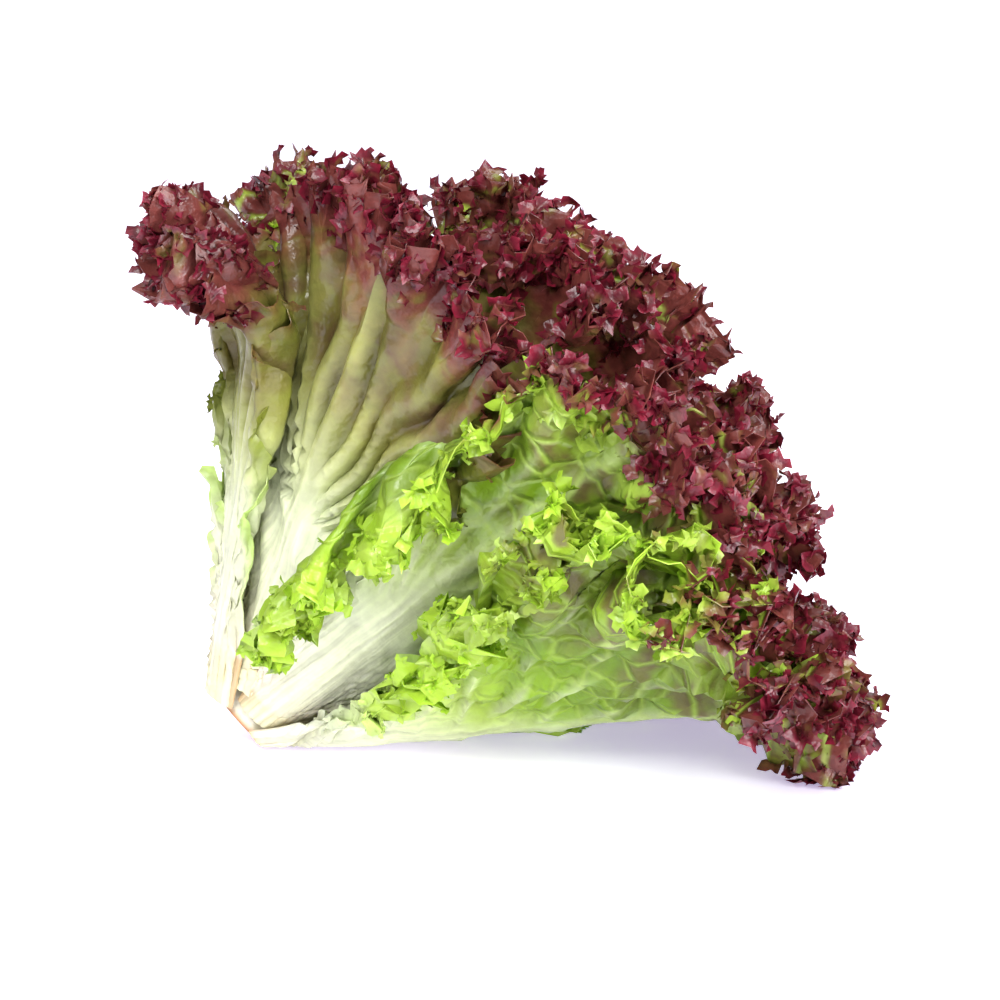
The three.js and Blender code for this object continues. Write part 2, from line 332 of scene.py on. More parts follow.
def leaf_surface(leaf, side, across):
    """Points of the leaf's middle surface, wrapped round the head's axis and thrown into broad waves."""
    past_fold = np.clip(across - leaf["fold"], 0, 1) * folded_share(leaf, side)
    x, y, _ = leaf_plan(leaf, side, across - FOLD_RETURN * past_fold)
    up = 1 - np.abs(side)
    along = np.arange(0, leaf["length"] * 1.1, BEND_STEP)
    slopes = leaf["lean"] + leaf["curl"] * smooth_step(along / leaf["length"], 0.6, 1)
    radii = leaf["base_radius"] + np.concatenate([[0], np.cumsum(np.sin(slopes[:-1]) * BEND_STEP)])
    heights = leaf["attachment"] + np.concatenate([[0], np.cumsum(np.cos(slopes[:-1]) * BEND_STEP)])
    radius = np.interp(y, along, radii)
    height = np.interp(y, along, heights)
    slope = np.interp(y, along, slopes)
    fullest_wrap = np.where(side < 0, leaf["left_wrap"], leaf["right_wrap"])
    turn = fullest_wrap * np.tanh(x / radius / fullest_wrap)
    cup = leaf["cup"] * (turn / fullest_wrap) ** 2
    from_foot = radius - leaf["base_radius"], height - leaf["attachment"]
    radius = leaf["base_radius"] + from_foot[0] * np.cos(cup) - from_foot[1] * np.sin(cup)
    height = leaf["attachment"] + from_foot[0] * np.sin(cup) + from_foot[1] * np.cos(cup)
    slope = slope - cup
    frilled = smooth_step(across, 0.4, 1) * smooth_step(up, 0, 0.7)
    wave = leaf["frill"] * frilled * np.sin(math.pi * leaf["waves"] * (side + 1) + leaf["phase"])
    low_margin = smooth_step(up, 0.05, 0.22) * (1 - smooth_step(up, 0.45, 0.7))
    wave = wave + leaf["flare"] * smooth_step(across, 0.45, 1) * low_margin
    wave = wave + FOLD_STANDOFF * smooth_step(past_fold, 0, 0.06) + 0.03 * past_fold
    out = radius + wave * np.cos(slope)
    local = np.stack([out * np.cos(turn), out * np.sin(turn), height - wave * np.sin(slope)], axis=-1)
    place = np.array(HEAD @ Matrix.Rotation(leaf["azimuth"], 4, "Z"))
    return local @ place[:3, :3].T + place[:3, 3]


def rib_spread(leaf, y):
    """Half the width over which the midrib's strands run: that of the base at first, then fanning out."""
    return BASE_HALF_WIDTH + 0.8 * np.clip(y - 0.38 * leaf["length"], 0, 1)


def vein_ridges(leaf, side, across, x, y):
    """How strongly a point stands on the midrib or on one of the veins that fan out from it, 0 to 1."""
    up = 1 - np.abs(side)
    midrib_half = BASE_HALF_WIDTH * (1 - y / (0.85 * leaf["length"])).clip(0.02, 1) + 0.0014
    midrib = np.exp(-((x / midrib_half) ** 2) * 1.6)
    fan = FAN_RIBS_PER_SIDE * x / rib_spread(leaf, y) + 0.25 * np.sin(y / 0.009 + 5 * x / 0.03)
    fan_gap = np.abs(fan - np.round(fan))
    fan_height = 1 - 0.75 * smooth_step(y / leaf["length"], 0.5, 0.95)
    fan_ribs = np.exp(-((fan_gap / 0.25) ** 2)) * fan_height * (1 - smooth_step(across, 0.6, 1))
    waver = 0.012 * np.sin(17 * across + 40 * side)
    apart = np.abs((side + waver) * VEINS_PER_SIDE - np.round((side + waver) * VEINS_PER_SIDE))
    spacing = 0.5 * (leaf["length"] + leaf["left_width"]) / VEINS_PER_SIDE
    vein_half = VEIN_HALF_WIDTH * (1 - 0.72 * across)
    veins = np.exp(-((apart * 2 * spacing / vein_half) ** 2)) * (1 - 0.55 * across)
    side_veins = veins * smooth_step(up, 0.08, 0.3) * smooth_step(across, 0.0, 0.1)
    ribs = leaf["fan"] * fan_ribs + (1 - leaf["fan"]) * side_veins
    return np.maximum(midrib * (0.75 + 0.25 * fan_ribs), ribs)


def leaf_sheet(number):
    """One leaf as a sheet of quads, with what the frill and the colours need stored on its points."""
    leaf = leaf_sizes(number)
    side_rows, across_rows, rows = [], [], []
    count = 0
    for across, columns in leaf["rows"]:
        sides = np.linspace(-1, 1, columns + 1)
        if across == 0:
            half = columns // 2
            rows.append([min(i, columns - i) for i in range(columns + 1)])
            sides = sides[: half + 1]
        else:
            rows.append(list(range(count, count + columns + 1)))
        side_rows.append(sides)
        across_rows.append(np.full(len(sides), float(across)))
        count += len(sides)
    side = np.concatenate(side_rows)
    across = np.concatenate(across_rows)
    faces = []
    for inner, outer in zip(rows, rows[1:]):
        step = (len(outer) - 1) // (len(inner) - 1)
        for i in range(len(inner) - 1):
            a, b = inner[i], inner[i + 1]
            fan = outer[i * step : (i + 1) * step + 1]
            if step == 1:
                face = (a, b, fan[1], fan[0])
                faces.append(face if len(set(face)) == 4 else (a, fan[1], fan[0]))
            else:
                faces += [(a, fan[1], fan[0]), (a, b, fan[1]), (b, fan[2], fan[1])]
    points = leaf_surface(leaf, side, across)
    x, y, vein_length = leaf_plan(leaf, side, across)
    margin_sides = np.linspace(-1, 1, MARGIN_STEPS)
    margin_x, margin_y, _ = leaf_plan(leaf, margin_sides, np.ones(MARGIN_STEPS))
    margin_run = np.concatenate([[0], np.cumsum(np.hypot(np.diff(margin_x), np.diff(margin_y)))])
    inner_share = np.clip(across - 0.01, 0, 1)
    outward = leaf_surface(leaf, side, inner_share + 0.01) - leaf_surface(leaf, side, inner_share)
    outward /= np.linalg.norm(outward, axis=1, keepdims=True) + 1e-9
    near_side = np.clip(side - 0.002, -1, 0.996)
    beside = leaf_surface(leaf, near_side + 0.004, across) - leaf_surface(leaf, near_side, across)
    beside /= np.linalg.norm(beside, axis=1, keepdims=True) + 1e-9

    height = y / leaf["length"]
    from_margin = (1 - across) * vein_length
    shade = leaf["shade"] * (1 - 0.6 * smooth_step(side, -0.15, 0.05)) * (1 - smooth_step(height, 0.9, 1))
    leafy = smooth_step(across, 0.35, 0.8) * smooth_step(1 - np.abs(side), 0.1, 0.45)
    leafy = leafy * (1 - leaf["fan"] ** 2)
    folded = folded_share(leaf, side) * smooth_step(across, 0.4, 0.6)
    green = leaf["green"] * smooth_step(height, 0, 0.2)
    plain = leaf["plain"] * smooth_step(side, 0, 0.1) * (1 - smooth_step(height, 0.7, 0.85))

    mesh = bpy.data.meshes.new(f"lettuce_leaf_{number + 1:02d}")
    mesh.from_pydata(points.tolist(), [], faces)
    stored = {
        "along_margin": np.interp(side, margin_sides, margin_run),
        "from_margin": from_margin,
        "height_share": height,
        "green_share": height + 0.28 * leafy - 0.1 * leaf["fan"] ** 2 + green,
        "near_edge": np.clip(1 - (from_margin - 0.002) / leaf["lime"], 0, 1),
        "frilled": smooth_step(1 - np.abs(side), 0.02, 0.3) * (1 - 0.9 * plain),
        "rib": vein_ridges(leaf, side, across, x, y),
        "across_ribs": x / rib_spread(leaf, y),
        "sheltered": folded + (1 - folded) * shade,
        "olive": smooth_step(height, 0.3, 0.5) * (number in OLIVE_LEAVES),
    }
    for name, values in stored.items():
        mesh.attributes.new(name, "FLOAT", "POINT").data.foreach_set("value", values.astype(np.float32))
    for name, values in {"outward": outward, "beside": beside}.items():
        data = mesh.attributes.new(name, "FLOAT_VECTOR", "POINT").data
        data.foreach_set("vector", values.astype(np.float32).ravel())
    plan = mesh.uv_layers.new(name="plan")
    loop_points = np.zeros(len(mesh.loops), dtype=np.int32)
    mesh.loops.foreach_get("vertex_index", loop_points)
    flat = np.stack([0.5 + x / PLAN_SIZE, y / PLAN_SIZE], axis=-1)[loop_points]
    plan.data.foreach_set("uv", flat.astype(np.float32).ravel())
    return mesh, leaf


def make_curl(name, sweep, flare, ruffle, phase):
    """One curl of the frill: a flared ribbon of leaf rolled part way round, with a waved and toothed rim.
    It is a metre high and lens-thin, to be scattered at its real size."""
    columns, rows = 9, 3
    foot_radius, half_thickness = 0.34, 0.016
    points, faces = [], []
    index = {}
    for face_side in (1, -1):
        for row in range(rows):
            for column in range(columns):
                edge = row in (0, rows - 1) or column in (0, columns - 1)
                if edge and face_side < 0:
                    index[face_side, row, column] = index[1, row, column]
                    continue
                u = 2 * column / (columns - 1) - 1
                v = row / (rows - 1)
                turn = sweep * u
                tooth = (0.13 if column % 2 else -0.1) * (1 + 0.6 * math.sin(5 * u + phase)) * v**2
                wave = ruffle * v * math.sin(7.5 * u + phase)
                radius = foot_radius + flare * v**1.4 + wave + (0 if edge else half_thickness * face_side)
                y = 0.85 * v * (1 - 0.3 * u * u) + tooth - 0.4 * flare * v**3
                index[face_side, row, column] = len(points)
                points.append((radius * math.sin(turn), y, radius * math.cos(turn) - foot_radius))
        for row in range(rows - 1):
            for column in range(columns - 1):
                corners = [(row, column), (row, column + 1), (row + 1, column + 1), (row + 1, column)]
                face = [index[face_side, r, c] for r, c in corners]
                faces.append(face[::-1] if face_side > 0 else face)
    mesh = bpy.data.meshes.new(name)
    mesh.from_pydata(points, [], faces)
    tips = mesh.attributes.new("curl_tip", "FLOAT", "POINT")
    for key, place in index.items():
        tips.data[place].value = key[1] / (rows - 1)
    return bpy.data.objects.new(name, mesh)


def frill_tree():
    """Nodes that put teeth, ruffles, curls, ribs and thickness on a leaf's sheet."""
    tree = bpy.data.node_groups.new("lettuce_leaf_growth", "GeometryNodeTree")
    tree.interface.new_socket("Leaf", in_out="INPUT", socket_type="NodeSocketGeometry")
    tree.interface.new_socket("Leaf", in_out="OUTPUT", socket_type="NodeSocketGeometry")
    for name in (*LEAF_VALUES, "Rib Thickness", "Seed"):
        tree.interface.new_socket(name, in_out="INPUT", socket_type="NodeSocketFloat")
    for name in CURL_KINDS:
        tree.interface.new_socket(name, in_out="INPUT", socket_type="NodeSocketObject")
    tree.interface.new_socket("Finish", in_out="INPUT", socket_type="NodeSocketMaterial")
    given = add_node(tree, "NodeGroupInput").node.outputs
    stored = {
        name: add_node(tree, "GeometryNodeInputNamedAttribute", {"Name": name}, data_type="FLOAT")
        for name in ("along_margin", "from_margin", "frilled", "rib", "height_share")
    }
    ways = {
        name: add_node(tree, "GeometryNodeInputNamedAttribute", {"Name": name}, data_type="FLOAT_VECTOR")
        for name in ("outward", "beside")
    }
    normal = add_node(tree, "GeometryNodeInputNormal")
    bands = {
        wave: add_node(
            tree, "ShaderNodeMapRange",
            {"Value": stored["from_margin"], "From Min": 0.0, "From Max": given[f"{wave} Depth"],
             "To Min": 1.0, "To Max": 0.0},
            interpolation_type="SMOOTHSTEP",
        )
        for wave in ("Tooth", "Fold", "Ruffle", "Crinkle")
    }
    leaf = given["Leaf"]

    # Teeth: the margin's points pushed out along their veins, some further than others
    tooth_turn = add_node(
        tree, "ShaderNodeMath", {0: stored["along_margin"], 1: given["Tooth Length"]}, operation="DIVIDE"
    )
    tooth_draw = add_node(
        tree, "ShaderNodeTexNoise", {"W": tooth_turn, "Scale": 0.8, "Detail": 1.0}, noise_dimensions="1D"
    )
    tooth_place = add_node(
        tree, "ShaderNodeMath", {0: tooth_draw, 1: 1.6, 2: tooth_turn}, operation="MULTIPLY_ADD"
    )
    tooth_saw = add_node(tree, "ShaderNodeMath", {0: tooth_place, 1: 1.0}, operation="PINGPONG")
    tooth_point = add_node(tree, "ShaderNodeMath", {0: tooth_saw, 1: 1.5}, operation="POWER")
    tooth_size = add_node(
        tree, "ShaderNodeMapRange",
        {"Value": tooth_draw, "From Min": 0.3, "From Max": 0.7, "To Min": 0.35, "To Max": 1.5},
    )
    tooth = given["Tooth Height"]
    for factor in (tooth_point, tooth_size, bands["Tooth"], stored["frilled"]):
        tooth = add_node(tree, "ShaderNodeMath", {0: tooth, 1: factor}, operation="MULTIPLY")
    tooth_way = add_node(
        tree, "ShaderNodeVectorMath", {0: ways["outward"], "Scale": tooth}, operation="SCALE"
    )
    leaf = add_node(tree, "GeometryNodeSetPosition", {"Geometry": leaf, "Offset": tooth_way})

    # Folds, ruffles on the folds and crinkles on the ruffles: waves along the margin that fade inwards
    for wave in ("Fold", "Ruffle", "Crinkle"):
        turn = add_node(
            tree, "ShaderNodeMath", {0: stored["along_margin"], 1: given[f"{wave} Length"]},
            operation="DIVIDE",
        )
        seeded = add_node(tree, "ShaderNodeMath", {0: turn, 1: given["Seed"]}, operation="ADD")
        draw = add_node(
            tree, "ShaderNodeTexNoise", {"W": seeded, "Scale": 0.55, "Detail": 1.0}, noise_dimensions="1D"
        )
        phase = add_node(tree, "ShaderNodeMath", {0: draw, 1: 1.5, 2: turn}, operation="MULTIPLY_ADD")
        angle = add_node(tree, "ShaderNodeMath", {0: phase, 1: 2 * math.pi}, operation="MULTIPLY")
        swing = add_node(tree, "ShaderNodeMath", {0: angle}, operation="SINE")
        double = add_node(tree, "ShaderNodeMath", {0: angle, 1: 2.0}, operation="MULTIPLY")
        sway = add_node(tree, "ShaderNodeMath", {0: double}, operation="SINE")
        uneven = add_node(
            tree, "ShaderNodeMapRange",
            {"Value": draw, "From Min": 0.3, "From Max": 0.7, "To Min": 0.6, "To Max": 1.3},
        )
        height = given[f"{wave} Height"]
        for factor in (bands[wave], uneven, stored["frilled"]):
            height = add_node(tree, "ShaderNodeMath", {0: height, 1: factor}, operation="MULTIPLY")
        rise = add_node(tree, "ShaderNodeMath", {0: height, 1: swing}, operation="MULTIPLY")
        lap = add_node(tree, "ShaderNodeMath", {0: height, 1: sway}, operation="MULTIPLY")
        half_lap = add_node(tree, "ShaderNodeMath", {0: lap, 1: 0.45}, operation="MULTIPLY")
        over = add_node(
            tree, "ShaderNodeVectorMath", {0: ways["beside"], "Scale": half_lap}, operation="SCALE"
        )
        out = add_node(tree, "ShaderNodeVectorMath", {0: normal, "Scale": rise}, operation="SCALE")
        both = add_node(tree, "ShaderNodeVectorMath", {0: over, 1: out}, operation="ADD")
        leaf = add_node(tree, "GeometryNodeSetPosition", {"Geometry": leaf, "Offset": both})

    # The blade puckers up between its veins, and the ribs stand out on its under face
    pucker_scale = add_node(tree, "ShaderNodeMath", {0: 1.0, 1: given["Pucker Size"]}, operation="DIVIDE")
    pucker_draw = add_node(tree, "ShaderNodeTexNoise", {"Scale": pucker_scale, "Detail": 3.0})
    pucker = add_node(
        tree, "ShaderNodeMapRange",
        {"Value": pucker_draw, "From Min": 0.3, "From Max": 0.7, "To Min": -1.0, "To Max": 1.0},
    )
    pucker_height = add_node(
        tree, "ShaderNodeMath", {0: pucker, 1: given["Pucker Height"]}, operation="MULTIPLY"
    )
    leafy_height = add_node(
        tree, "ShaderNodeMapRange", {"Value": stored["height_share"], "From Min": 0.06, "From Max": 0.34}
    )
    off_rib = add_node(tree, "ShaderNodeMath", {0: 1.0, 1: stored["rib"]}, operation="SUBTRACT")
    for factor in (leafy_height, off_rib):
        pucker_height = add_node(
            tree, "ShaderNodeMath", {0: pucker_height, 1: factor}, operation="MULTIPLY"
        )
    relief = add_node(
        tree, "ShaderNodeMath", {0: stored["rib"], 1: given["Rib Height"], 2: pucker_height},
        operation="MULTIPLY_ADD",
    )
    leaf = add_node(
        tree, "GeometryNodeStoreNamedAttribute", {"Geometry": leaf, "Name": "pucker", "Value": pucker},
        data_type="FLOAT", domain="POINT",
    )
    relief_way = add_node(tree, "ShaderNodeVectorMath", {0: normal, "Scale": relief}, operation="SCALE")
    leaf = add_node(tree, "GeometryNodeSetPosition", {"Geometry": leaf, "Offset": relief_way})

    # Curls: small toothed lobes on both faces of the frill, standing every way
    curl_band = add_node(
        tree, "ShaderNodeMapRange",
        {"Value": stored["from_margin"], "From Min": 0.0, "From Max": given["Curl Depth"],
         "To Min": 1.0, "To Max": 0.0},
    )
    curl_height = add_node(
        tree, "ShaderNodeMapRange",
        {"Value": stored["height_share"], "From Min": given["Curl Start"], "From Max": 0.92},
        interpolation_type="SMOOTHSTEP",
    )
    side_band = add_node(
        tree, "ShaderNodeMapRange",
        {"Value": stored["from_margin"], "From Min": 0.0, "From Max": given["Side Curl Depth"],
         "To Min": given["Side Curls"], "To Max": 0.0},
    )
    side_curls = add_node(
        tree, "ShaderNodeMath", {0: side_band, 1: stored["frilled"]}, operation="MULTIPLY"
    )
    curl_cover = add_node(tree, "ShaderNodeMath", {0: curl_height, 1: side_curls}, operation="MAXIMUM")
    density = given["Curls per Area"]
    for factor in (curl_band, curl_cover):
        density = add_node(tree, "ShaderNodeMath", {0: density, 1: factor}, operation="MULTIPLY")
    seed = add_node(tree, "FunctionNodeFloatToInt", {0: given["Seed"]})
    spots = add_node(
        tree, "GeometryNodeDistributePointsOnFaces", {"Mesh": leaf, "Density": density, "Seed": seed},
        distribute_method="RANDOM",
    ).node.outputs
    coin = add_node(tree, "FunctionNodeRandomValue", {2: -1.0, 3: 1.0, "Seed": 3}, data_type="FLOAT")
    outer_bias = add_node(
        tree, "ShaderNodeMapRange", {"Value": stored["from_margin"], "From Min": 0.006, "From Max": 0.016}
    )
    leaning_coin = add_node(tree, "ShaderNodeMath", {0: coin, 1: outer_bias}, operation="ADD")
    face = add_node(tree, "ShaderNodeMath", {0: leaning_coin}, operation="SIGN")
    stand = add_node(tree, "ShaderNodeVectorMath", {0: spots["Normal"], "Scale": face}, operation="SCALE")
    stray = add_node(
        tree, "FunctionNodeRandomValue", {0: (-0.7, -0.7, -0.7), 1: (0.7, 0.7, 0.7), "Seed": 4},
        data_type="FLOAT_VECTOR",
    )
    strayed = add_node(tree, "ShaderNodeVectorMath", {0: stand, 1: stray}, operation="ADD")
    curl_way = add_node(
        tree, "ShaderNodeVectorMath", {0: ways["outward"], 1: (0.8, 0.8, 0.8), 2: strayed},
        operation="MULTIPLY_ADD",
    )
    upright = add_node(tree, "FunctionNodeAlignRotationToVector", {"Vector": curl_way}, axis="Y")
    roll = add_node(tree, "FunctionNodeRandomValue", {2: 0.0, 3: 2 * math.pi, "Seed": 5}, data_type="FLOAT")
    rolled = add_node(tree, "FunctionNodeAxisAngleToRotation", {"Axis": (0.0, 1.0, 0.0), "Angle": roll})
    turned = add_node(
        tree, "FunctionNodeRotateRotation", {"Rotation": upright, "Rotate By": rolled},
        rotation_space="LOCAL",
    )
    share = add_node(tree, "FunctionNodeRandomValue", {2: 0.5, 3: 1.6, "Seed": 6}, data_type="FLOAT")
    size_by_height = add_node(
        tree, "ShaderNodeMapRange",
        {"Value": stored["height_share"], "From Min": 0.3, "From Max": 0.85, "To Min": 0.45, "To Max": 1.0},
    )
    curl_size = given["Curl Size"]
    for factor in (share, size_by_height):
        curl_size = add_node(tree, "ShaderNodeMath", {0: curl_size, 1: factor}, operation="MULTIPLY")
    kinds = [
        add_node(tree, "GeometryNodeObjectInfo", {"Object": given[name], "As Instance": True}, "Geometry")
        for name in CURL_KINDS
    ]
    all_kinds = add_node(tree, "GeometryNodeJoinGeometry", {0: kinds})
    choice = add_node(tree, "FunctionNodeRandomValue", {4: 0, 5: 2, "Seed": 7}, data_type="INT")
    curls = add_node(
        tree, "GeometryNodeInstanceOnPoints",
        {"Points": spots["Points"], "Instance": all_kinds, "Pick Instance": True,
         "Instance Index": choice, "Rotation": turned, "Scale": curl_size},
    )
    curls = add_node(tree, "GeometryNodeRealizeInstances", {"Geometry": curls})
    crumple_draw = add_node(tree, "ShaderNodeTexNoise", {"Scale": 1 / 0.0028, "Detail": 1.0}, "Color")
    crumple = add_node(
        tree, "ShaderNodeVectorMath", {0: crumple_draw, 1: (-0.5, -0.5, -0.5)}, operation="ADD"
    )
    crumple_depth = add_node(
        tree, "ShaderNodeMapRange", {"Value": stored["height_share"], "From Min": 0.3, "From Max": 0.85,
        "To Min": 0.0006, "To Max": 0.0038},
    )
    crumple_way = add_node(
        tree, "ShaderNodeVectorMath", {0: crumple, "Scale": crumple_depth}, operation="SCALE"
    )
    curls = add_node(tree, "GeometryNodeSetPosition", {"Geometry": curls, "Offset": crumple_way})
    edge_angle = add_node(tree, "GeometryNodeInputMeshEdgeAngle")
    curl_rim = add_node(
        tree, "FunctionNodeCompare", {0: edge_angle, 1: 2.4}, data_type="FLOAT", operation="GREATER_THAN"
    )
    curls = add_node(
        tree, "GeometryNodeSetShadeSmooth",
        {"Geometry": curls, "Selection": curl_rim, "Shade Smooth": False},
        domain="EDGE",
    )

    # Thickness: the sheet is extruded outwards for its under face, and turned over for its upper face
    thin_edge = add_node(
        tree, "ShaderNodeMapRange", {"Value": stored["from_margin"], "From Min": 0.0, "From Max": 0.012,
        "To Min": given["Edge Thickness"], "To Max": given["Blade Thickness"]},
    )
    thickness = add_node(
        tree, "ShaderNodeMath", {0: stored["rib"], 1: given["Rib Thickness"], 2: thin_edge},
        operation="MULTIPLY_ADD",
    )
    under = add_node(
        tree, "GeometryNodeExtrudeMesh",
        {"Mesh": leaf, "Offset": normal, "Offset Scale": thickness, "Individual": False},
        mode="FACES",
    ).node.outputs
    marked = add_node(
        tree, "GeometryNodeStoreNamedAttribute",
        {"Geometry": under["Mesh"], "Name": "under_face", "Value": under["Top"]},
        data_type="FLOAT", domain="FACE",
    )
    upper = add_node(tree, "GeometryNodeFlipFaces", {"Mesh": leaf})
    joined = add_node(tree, "GeometryNodeJoinGeometry", {0: [marked, upper]})
    closed = add_node(tree, "GeometryNodeMergeByDistance", {"Geometry": joined, "Distance": 1e-6})
    sheet_rim = add_node(
        tree, "FunctionNodeCompare", {0: edge_angle, 1: 1.2}, data_type="FLOAT", operation="GREATER_THAN"
    )
    crisp = add_node(
        tree, "GeometryNodeSetShadeSmooth",
        {"Geometry": closed, "Selection": sheet_rim, "Shade Smooth": False},
        domain="EDGE",
    )
    whole = add_node(tree, "GeometryNodeJoinGeometry", {0: [crisp, curls]})

    # What would hang below the table is pressed up against it, one layer on another
    place = add_node(tree, "GeometryNodeInputPosition")
    parts = add_node(tree, "ShaderNodeSeparateXYZ", {0: place}).node.outputs
    sunk = add_node(tree, "ShaderNodeMath", {0: parts[2], 1: -PRESSED_LAYER}, operation="ADD")
    sunk_share = add_node(tree, "ShaderNodeMath", {0: sunk, 1: PRESSED_LAYER}, operation="DIVIDE")
    pressed_share = add_node(tree, "ShaderNodeMath", {0: sunk_share}, operation="EXPONENT")
    pressed = add_node(tree, "ShaderNodeMath", {0: pressed_share, 1: PRESSED_LAYER}, operation="MULTIPLY")
    is_low = add_node(tree, "ShaderNodeMath", {0: parts[2], 1: PRESSED_LAYER}, operation="LESS_THAN")
    above = add_node(tree, "ShaderNodeMix", {"Factor": is_low, 2: parts[2], 3: pressed}, data_type="FLOAT")
    lifted = add_node(tree, "ShaderNodeCombineXYZ", {0: parts[0], 1: parts[1], 2: above})
    rested = add_node(tree, "GeometryNodeSetPosition", {"Geometry": whole, "Position": lifted})
    smooth = add_node(tree, "GeometryNodeSetShadeSmooth", {"Geometry": rested})
    real = add_node(tree, "GeometryNodeRealizeInstances", {"Geometry": smooth})
    finished = add_node(tree, "GeometryNodeSetMaterial", {"Geometry": real, "Material": given["Finish"]})
    add_node(tree, "NodeGroupOutput", {"Leaf": finished})
    return tree


# Lettuce leaf: thin, waxy and juicy. It is white and pink at the base, then green, and dark red where the
# sun reached the frill. Light shines through it, and the wax gives every crinkle a small bright reflection.
leaf_finish, tree = new_material("waxy_lettuce_leaf")
stored = {
    name: add_node(tree, "ShaderNodeAttribute", output="Fac", attribute_name=name)
    for name in (
        "height_share", "green_share", "near_edge", "rib", "across_ribs", "olive", "sheltered",
        "under_face", "curl_tip", "pucker",
    )
}
plan = add_node(tree, "ShaderNodeUVMap", uv_map="plan")
place = add_node(tree, "ShaderNodeTexCoord", output="Object")
blotches = add_node(tree, "ShaderNodeTexNoise", {"Vector": place, "Scale": 1 / 0.014, "Detail": 3.0})
patches = add_node(tree, "ShaderNodeTexNoise", {"Vector": place, "Scale": 1 / 0.009, "Detail": 1.0})
specks = add_node(tree, "ShaderNodeTexNoise", {"Vector": place, "Scale": 1 / 0.003, "Detail": 2.0})
# How colours and patterns come and go from the base to the tip: two heights, and the strengths there
by_height = {
    name: add_node(
        tree, "ShaderNodeMapRange",
        {"Value": stored["height_share"], "From Min": low, "From Max": high,
         "To Min": first, "To Max": last},
    )
    for name, (low, high, first, last) in {
        "lime": (0.1, 0.42, 0, 1), "olive": (0.34, 0.6, 0, 1), "ribs": (0.2, 0.9, 0.85, 0.35),
        "net": (0.34, 0.6, 0, 0.38), "mottle": (0.56, 0.74, 0, 1), "fibres": (0.2, 0.4, 1, 0),
        "net bump": (0.3, 0.55, 0, 0.5),
    }.items()
}
# The green blade from the base up, lime towards the side margins, with pale ribs
blade = add_node(
    tree, "ShaderNodeValToRGB", {"Fac": stored["green_share"]},
    stops=[
        (0.0, "#c09a6c"), (0.012, "#dccabc"), (0.1, "#d9d8c2"), (0.26, "#dbe1c2"), (0.38, "#cddc98"),
        (0.48, "#adc848"), (0.58, "#93b824"), (0.7, "#80a61c"), (1.0, "#7a9530"),
    ],
)
not_olive = add_node(tree, "ShaderNodeMapRange", {"Value": stored["olive"], "To Min": 1.0, "To Max": 0.15})
lime_share = stored["near_edge"]
for factor in (by_height["lime"], not_olive):
    lime_share = add_node(tree, "ShaderNodeMath", {0: lime_share, 1: factor}, operation="MULTIPLY")
olive_share = add_node(
    tree, "ShaderNodeMath", {0: by_height["olive"], 1: stored["olive"]}, operation="MULTIPLY"
)
rib_share = add_node(tree, "ShaderNodeMath", {0: by_height["ribs"], 1: stored["rib"]}, operation="MULTIPLY")
rib_colour = add_node(
    tree, "ShaderNodeMix", {"Factor": olive_share, 6: linear("#dbe0ba"), 7: linear("#b4b872")},
    data_type="RGBA",
)
# Small veins close into a net, 9 mm a mesh, which shows as pale lines in the leafy part
net = add_node(
    tree, "ShaderNodeTexVoronoi", {"Vector": plan, "Scale": PLAN_SIZE / 0.009}, feature="DISTANCE_TO_EDGE",
    voronoi_dimensions="2D",
)
net_height = add_node(
    tree, "ShaderNodeMapRange", {"Value": net, "From Min": 0.0, "From Max": 0.18},
    interpolation_type="SMOOTHSTEP",
)
net_line = add_node(tree, "ShaderNodeMath", {0: 1.0, 1: net_height}, operation="SUBTRACT")
on_vein = add_node(tree, "ShaderNodeMath", {0: net_line, 1: not_olive}, operation="MULTIPLY")
between_veins = add_node(tree, "ShaderNodeMath", {0: 1.0, 1: on_vein}, operation="SUBTRACT")
vein_share = add_node(tree, "ShaderNodeMath", {0: on_vein, 1: by_height["net"]}, operation="MULTIPLY")
# Purple cells between the veins, in patches where the green blade nears the red
mottle_patch = add_node(
    tree, "ShaderNodeMapRange", {"Value": blotches, "From Min": 0.46, "From Max": 0.6, "To Max": 0.75}
)
in_the_open = add_node(
    tree, "ShaderNodeMapRange",
    {"Value": stored["sheltered"], "From Min": 0.76, "From Max": 0.9, "To Min": 1.0, "To Max": 0.0},
)
mottle = between_veins
for factor in (mottle_patch, by_height["mottle"], in_the_open):
    mottle = add_node(tree, "ShaderNodeMath", {0: mottle, 1: factor}, operation="MULTIPLY")
# The red, which comes in blotches between the veins and closes up towards the crown
push = stored["height_share"]
for cause, weight in (
    (blotches, 0.28), (stored["near_edge"], 0.04), (stored["rib"], -0.09), (on_vein, -0.15),
    (stored["under_face"], -0.03), (stored["sheltered"], -0.3),
):
    push = add_node(tree, "ShaderNodeMath", {0: cause, 1: weight, 2: push}, operation="MULTIPLY_ADD")
redness = add_node(tree, "ShaderNodeMapRange", {"Value": push, "From Min": 0.85, "From Max": 1.02})
bronze_patch = add_node(
    tree, "ShaderNodeMapRange",
    {"Value": patches, "From Min": 0.6, "From Max": 0.7, "To Min": 1.0, "To Max": 0.45},
)
curl_ripeness = add_node(
    tree, "ShaderNodeMapRange", {"Value": stored["curl_tip"], "To Min": 0.62, "To Max": 1.0}
)
for factor in (bronze_patch, curl_ripeness):
    redness = add_node(tree, "ShaderNodeMath", {0: redness, 1: factor}, operation="MULTIPLY")
red = add_node(
    tree, "ShaderNodeValToRGB", {"Fac": redness},
    stops=[(0.0, "#8f9048"), (0.3, "#7f6238"), (0.55, "#7c4238"), (0.8, "#691e2b"), (1.0, "#831d33")],
)
red_cover = add_node(tree, "ShaderNodeMapRange", {"Value": redness, "From Min": 0.0, "From Max": 0.4})
